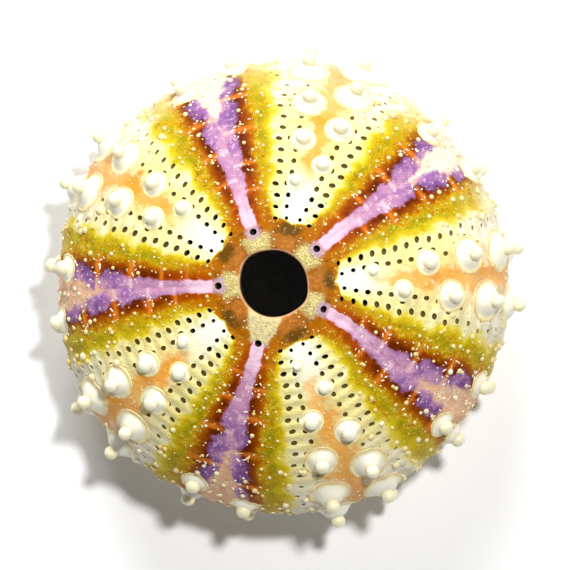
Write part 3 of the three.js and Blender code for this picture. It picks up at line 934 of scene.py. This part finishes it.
def paint_field(p, arc, away, sector, part, noises, below):
    """The coloured fields, from their edges inward: lemon, yellow, gold and olive, amber, rust and
    maroon, then lilac and purple. Bright sutures cross them; part is the share of the way from one
    to the next. The fields of the first two sectors, which face the lamps, fade out higher up and
    have ivory partings: painted light, the lit side drawn paler."""
    cloud, patch, grain, speck = noises
    side = arc + cloud * 6.0
    # Fields fade to pale down the side; in the first two sectors, towards the lamps, 3.5 of arc sooner:
    # painted light.
    fade_and_lit_side = (side + sector.rise(1.6, 1.4) * 3.5).rise(30.0, 18.5)
    to_suture = part.within(1.0 - part)
    tip = 3.5 * arc.rise(8.5, 5.5) + 14.0 * arc.rise(5.95, 5.35)
    tongue = (to_suture + grain * 0.2).rise(0.0, 0.3) * 2.2 * arc.rise(7.0, 11.0)
    outer = away - tip + cloud * 4.0 + patch * 5.0 + grain * 3.5 - tongue + 1.2
    inner = away + cloud * 3.5 + patch * 5.5 + grain * 4.0
    colour = p.mix(outer.rise(20.6, 18.2) * fade_and_lit_side, below, LEMON)
    colour = p.mix(outer.rise(19.4, 17.0) * fade_and_lit_side, colour, YELLOW)
    gold = p.mix(arc.rise(6.0, 9.5), AMBER, GOLD)
    green = (patch + grain * 0.9 + cloud * 0.5).rise(-0.1, 0.1) * arc.rise(7.0, 11.0) * outer.rise(10.5, 14.0)
    gold = p.mix(green * 0.9, gold, OLIVE)
    gold = p.mix((speck + grain).rise(0.08, 0.26) * 0.7, gold, LEMON)
    moss = (speck * 0.5 + grain + patch * 0.6).rise(-0.06, -0.26) * 0.6 * arc.rise(8.0, 11.0)
    gold = p.mix(moss, gold, MOSS)
    colour = p.mix(outer.rise(17.8, 14.4) * fade_and_lit_side, colour, gold)
    amber = p.mix((grain + speck).rise(0.05, 0.3) * 0.6, AMBER, GOLD)
    colour = p.mix(inner.rise(13.0, 9.6) * fade_and_lit_side, colour, amber)
    rust = p.mix((grain + speck).rise(0.08, 0.3) * 0.5, RUST, AMBER)
    colour = p.mix(inner.rise(10.6, 7.6) * fade_and_lit_side, colour, rust)
    line = (to_suture + grain * 0.16 + patch * 0.1).rise(0.11, 0.0)
    dark = inner.hump(6.4, 5.0) * (arc + patch * 8.0).rise(5.0, 13.0) * (0.72 + patch * 1.8 + grain)
    dark = dark * (to_suture + patch * 0.5 + arc.rise(12.0, 18.0) * 0.05).rise(0.05, 0.2)
    colour = p.mix((dark * 1.2).within(0.88).atop(0.0) * side.rise(30.0, 23.0), colour, MAROON)
    glow = line * inner.hump(8.0, 6.5) * arc.rise(6.0, 9.0) * side.rise(29.0, 23.0)
    colour = p.mix(glow * 0.75, colour, SUTURE)

    lobe = (to_suture.rise(0.04, 0.3) - 0.55) * 2.6 * arc.rise(11.0, 16.0)
    width = 4.0 + 1.4 * arc.rise(8.5, 5.2) + 1.3 * arc.rise(9.0, 15.0) + 1.5 * arc.rise(15.0, 20.0) + lobe
    rim = away + patch * 5.0 + grain * 3.0 + cloud * 2.0
    stain = (rim - width).rise(0.8, -0.8)
    purple = p.mix((side + patch * 5.0).rise(6.0, 9.5), PALE_LILAC, LILAC)
    purple = p.mix(away.rise(1.2, 4.5) * arc.rise(6.5, 9.0) * 0.4, purple, PURPLE)
    ripe = arc.rise(9.0, 14.5)
    purple = p.mix((patch + cloud * 0.6 + to_suture * 0.5 - 0.1).rise(-0.06, 0.16) * ripe, purple, PURPLE)
    purple = p.mix((away / width + patch * 1.6).rise(0.3, 1.0) * arc.rise(12.5, 16.5) * 0.8, purple, VIOLET)
    purple = p.mix((grain + speck * 0.7).rise(0.04, 0.26) * 0.75, purple, PALE_LILAC)
    purple = p.mix(line * arc.rise(7.0, 10.0) * 0.8, purple, p.mix(arc.rise(12.0, 17.0), PALE_LILAC, PEACH))
    # Partings are peach, but ivory in the first two sectors towards the lamps: painted light.
    flesh_and_lit_side = p.mix(sector.rise(1.6, 1.4) * 0.6, PEACH, IVORY)
    parting = (rim - 5.0 * arc.rise(14.0, 21.5) + 0.6).rise(0.8, -0.8) * arc.rise(13.5, 15.5)
    late = (side + patch * 4.0).rise(20.8, 22.4)
    purple = p.mix(parting.atop(late), purple, p.mix((grain + speck).rise(0.0, 0.3), flesh_and_lit_side, IVORY))
    colour = p.mix(stain * arc.rise(4.95, 5.35) * side.rise(34.0, 28.0), colour, purple)
    spots = (grain + speck * 0.5).rise(0.1, 0.2) * away.rise(9.0, 6.0) * arc.rise(20.5, 22.5)
    return p.mix(spots * side.rise(34.0, 28.0) * 0.75, colour, TAN)


def paint_disc(p, arc, away, from_axis, sector, noises, below):
    """The plates round the top opening: cream plates with a pore each and one large sieve plate,
    dark small plates at the bands' tips, orange between."""
    cloud, patch, grain, speck = noises
    disc = p.mix((patch + grain).rise(-0.2, 0.2), BROWN, COPPER)
    outer = p.mix((patch + grain).rise(0.0, 0.3), AMBER, BROWN)
    disc = p.mix(arc.rise(4.3, 4.8), disc, outer)
    hot = (from_axis + grain * 12.0).rise(16.0, 6.0) * (arc + grain).rise(4.5, 4.1)
    disc = p.mix(hot * 0.6, disc, p.mix((grain + speck).rise(0.0, 0.35), COPPER, ORANGE))
    from_eye = arc - 4.85
    eye = from_axis * from_axis * 0.008 + from_eye * from_eye * 3.0 + patch * 2.2 + grain * 2.0
    disc = p.mix(eye.rise(1.9, 0.1) * 0.85, disc, p.mix((grain + speck).rise(0.12, 0.3), UMBER, SHIELD))
    pale = p.mix((speck + grain * 0.6).rise(-0.12, 0.14), PLATE_GREEN, PLATE_CREAM)
    leaf = (away + grain * 16.0).rise(21.0, 11.0) * (arc + grain * 0.9).rise(4.7, 4.15)
    disc = p.mix(leaf, disc, pale)
    disc = p.mix((patch + cloud).rise(0.05, 0.3) * 0.6, disc, UMBER)
    sieve = sector.hump(MADREPORE_SECTOR, 0.4)
    across = away * arc * float(np.radians(1.0))
    below_egg = arc - (EGG_PORE_ARC + MADREPORE_EGG_SHIFT * sieve)
    to_egg = (below_egg * below_egg + across * across).math("SQRT")
    disc = p.mix((to_egg + grain * 0.6 + patch * 0.4).rise(0.95, 0.45), disc, HALO)
    shield = (across + grain * 0.5 + (arc - 3.2).atop(0.0) * 0.4).rise(1.75, 1.35) * sieve
    sponge = p.mix(grain.rise(-0.2, 0.2), SHIELD, PLATE_CREAM)
    sponge = p.mix((speck + grain * 0.8).rise(-0.3, -0.12), BROWN, sponge)
    disc = p.mix(shield * (arc + grain * 0.3).rise(5.6, 5.3), disc, sponge)
    ring = (arc + grain * 0.7 + patch * 0.5).rise(5.65, 5.15)
    white_tip = from_axis.rise(13.0, 8.0) * arc.rise(5.25, 5.5)
    lilac_start = away.rise(8.0, 4.0) * arc.rise(4.95, 5.5)
    return p.mix(ring * (1.0 - white_tip.atop(lilac_start)), below, disc)


def shell_paint():
    """Colours of the wall by its own coordinates: arc from the top pole, degrees from the field's
    middle, plate and pore pair numbers, depth below the outside."""
    p = Paint("shell_wall")
    arc, turn, plate, pair = p.read("arc"), p.read("turn"), p.read("plate"), p.read("pair")
    depth, sector = p.read("depth"), p.read("sector")
    noises = [p.noise(*grain) for grain in NOISES]
    away = abs(turn)
    from_axis = SECTOR / 2 - away
    colour = paint_band(p, arc, from_axis, pair, noises)
    colour = paint_field(p, arc, away, sector, plate.fraction(), noises, colour)
    colour = paint_disc(p, arc, away, from_axis, sector, noises, colour)
    colour = p.mix((arc + noises[2] * 0.3).rise(3.1, 2.95) * 0.7, colour, PEACH)
    # Painted shade in the holes: pore walls dark olive-brown near the top, a paler brown further down.
    colour = p.mix(depth.rise(0.05, 0.14), colour, p.mix(arc.rise(14.0, 20.0), PORE, LOWER_PORE_SHADE))
    # Painted shade: the inside of the wall and the bottoms of the deep pits are near-black, so the openings
    # and pores look dark.
    colour = p.mix(depth.rise(0.6, 0.85), colour, DEEP_SHADE)
    lumps = noises[1] * 1.6 * arc.rise(8.0, 15.0) + noises[2] * 0.9 + noises[3] * 0.45
    tooth = p.bump(lumps, 0.14, 0.7)
    return p.finish(colour, 0.42 + noises[2] * 0.3, tooth, **{"Specular IOR Level": 0.04})


def knob_paint():
    """White boss with a creamy ball and painted shade at the neck under it; a peach rim round the larger
    ones.
    """
    p = Paint("shell_knob")
    step, arc, size = p.read("step"), p.read("arc"), p.read("size")
    grain, cloud = p.noise(0.3, 3.0), p.noise(1.2, 2.0, 0.5)
    colour = p.mix(arc.rise(10.0, 18.0) * 0.7, WHITE, IVORY)
    colour = p.mix(step.rise(13.5, 16.5) * 0.8, colour, CREAM)
    rim = (step + grain * 4.0).hump(18.3, 2.2) * size.rise(0.7, 1.2) * arc.rise(27.0, 22.0)
    colour = p.mix(rim * (cloud + grain).rise(-0.25, 0.15) * 0.9, colour, RIM)
    colour = p.mix(step.rise(7.5, 5.5) * (0.35 + 0.5 * arc.rise(15.0, 22.0)), colour, BALL)
    # Painted shade at the neck under the ball.
    colour = p.mix(step.hump(8.0, 2.0) * 0.45, colour, FURROW_SHADE)
    colour = p.mix((cloud + grain).rise(0.05, 0.4) * 0.4, colour, CREAM)
    return p.finish(colour, 0.4 + grain * 0.3, p.bump(grain, 0.08, 0.5), **{"Specular IOR Level": 0.4})


def granule_paint():
    """Cream yellow to white; the white flecks of the grain group with paleness 1 are painted glints."""
    p = Paint("shell_granule")
    pale, arc = p.read("pale"), p.read("arc")
    colour = p.mix((pale + p.noise(0.9) * 1.6).within(1.0).atop(0.0), GRANULE, WHITE)
    colour = p.mix(arc.rise(4.9, 4.5), colour, PLATE_CREAM)
    return p.finish(colour, 0.32 + p.noise(0.3) * 0.2, p.bump(p.noise(0.15), 0.04, 0.3))


def dress(piece, material):
    """Gives a piece its one material."""
    piece.data.materials.clear()
    piece.data.materials.append(material)
    return piece


def make_urchin():
    """All pieces of the shell."""
    shell = dress(make_shell(), shell_paint())
    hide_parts("urchin_shell")
    knob = knob_paint()
    dress(knob_pieces("band_knobs", 0), knob)
    dress(knob_pieces("field_knobs", 1), knob)
    granule = granule_paint()
    dress(granule_piece("beads", BEAD_GROUPS, BEAD_SHAPE, BEAD_SEED), granule)
    dress(granule_piece("granules", GRAIN_GROUPS, GRAIN_SHAPE, GRAIN_SEED), granule)


def make_floor():
    """Pale floor, large and nearly matt."""
    half = FLOOR_SIZE / 2
    corners = [(-half, -half, 0), (half, -half, 0), (half, half, 0), (-half, half, 0)]
    mesh = bpy.data.meshes.new("floor")
    mesh.from_pydata(corners, [], [(0, 1, 2, 3)])
    floor = bpy.data.objects.new("floor", mesh)
    p = Paint("floor")
    mesh.materials.append(p.finish(ink("FDFDFD"), 0.9, p.bump(p.noise(30.0), 0.01, 0.1)))
    bpy.context.scene.collection.objects.link(floor)


def make_light():
    """Weak white light from all round, a small lamp high at the right, a wide one beyond the far side
    and a faint fill from the near left."""
    world = bpy.data.worlds.new("room")
    bpy.context.scene.world = world
    world.use_nodes = True
    background = world.node_tree.nodes["Background"]
    background.inputs["Color"].default_value = (1.0, 1.0, 1.0, 1.0)
    background.inputs["Strength"].default_value = ROOM_LIGHT
    for lamp in LAMPS:
        add_lamp(*lamp)


def make_camera():
    """Camera nearly straight above the shell, its top towards +Y. The lens is as long as makes the
    view's width fit at the height of the widest ring."""
    lens = bpy.data.cameras.new("camera")
    lens.sensor_width = SENSOR_WIDTH
    lens.lens = SENSOR_WIDTH * (CAMERA_DISTANCE - WIDEST_HEIGHT * MM) / VIEW_WIDTH
    lens.clip_start = 0.01
    lens.clip_end = 10.0
    camera = bpy.data.objects.new("camera", lens)
    lean, turn = np.radians(CAMERA_LEAN), np.radians(CAMERA_LEAN_AZIMUTH)
    back = Vector((np.sin(lean) * np.cos(turn), np.sin(lean) * np.sin(turn), np.cos(lean)))
    camera.location = Vector(CAMERA_AIM) + back * CAMERA_DISTANCE
    up = Vector((0.0, 1.0, 0.0))
    across = up.cross(back).normalized()
    above = back.cross(across)
    camera.rotation_mode = "QUATERNION"
    camera.rotation_quaternion = matrix_of(across, above, back).to_quaternion()
    bpy.context.scene.collection.objects.link(camera)
    bpy.context.scene.camera = camera
    bpy.context.scene.view_settings.view_transform = "Standard"


def matrix_of(x, y, z):
    """Rotation whose columns are three directions."""
    return Matrix((x, y, z)).transposed()


def add_lamp(name, place_at, size, power):
    """A square soft lamp that looks at the shell."""
    lamp = bpy.data.lights.new(name, "AREA")
    lamp.size = size
    lamp.energy = power
    thing = bpy.data.objects.new(name, lamp)
    thing.location = place_at
    thing.rotation_mode = "QUATERNION"
    thing.rotation_quaternion = (Vector(LAMP_TARGET) - thing.location).to_track_quat("-Z", "Y")
    bpy.context.scene.collection.objects.link(thing)


make_urchin()
make_floor()
make_light()
make_camera()
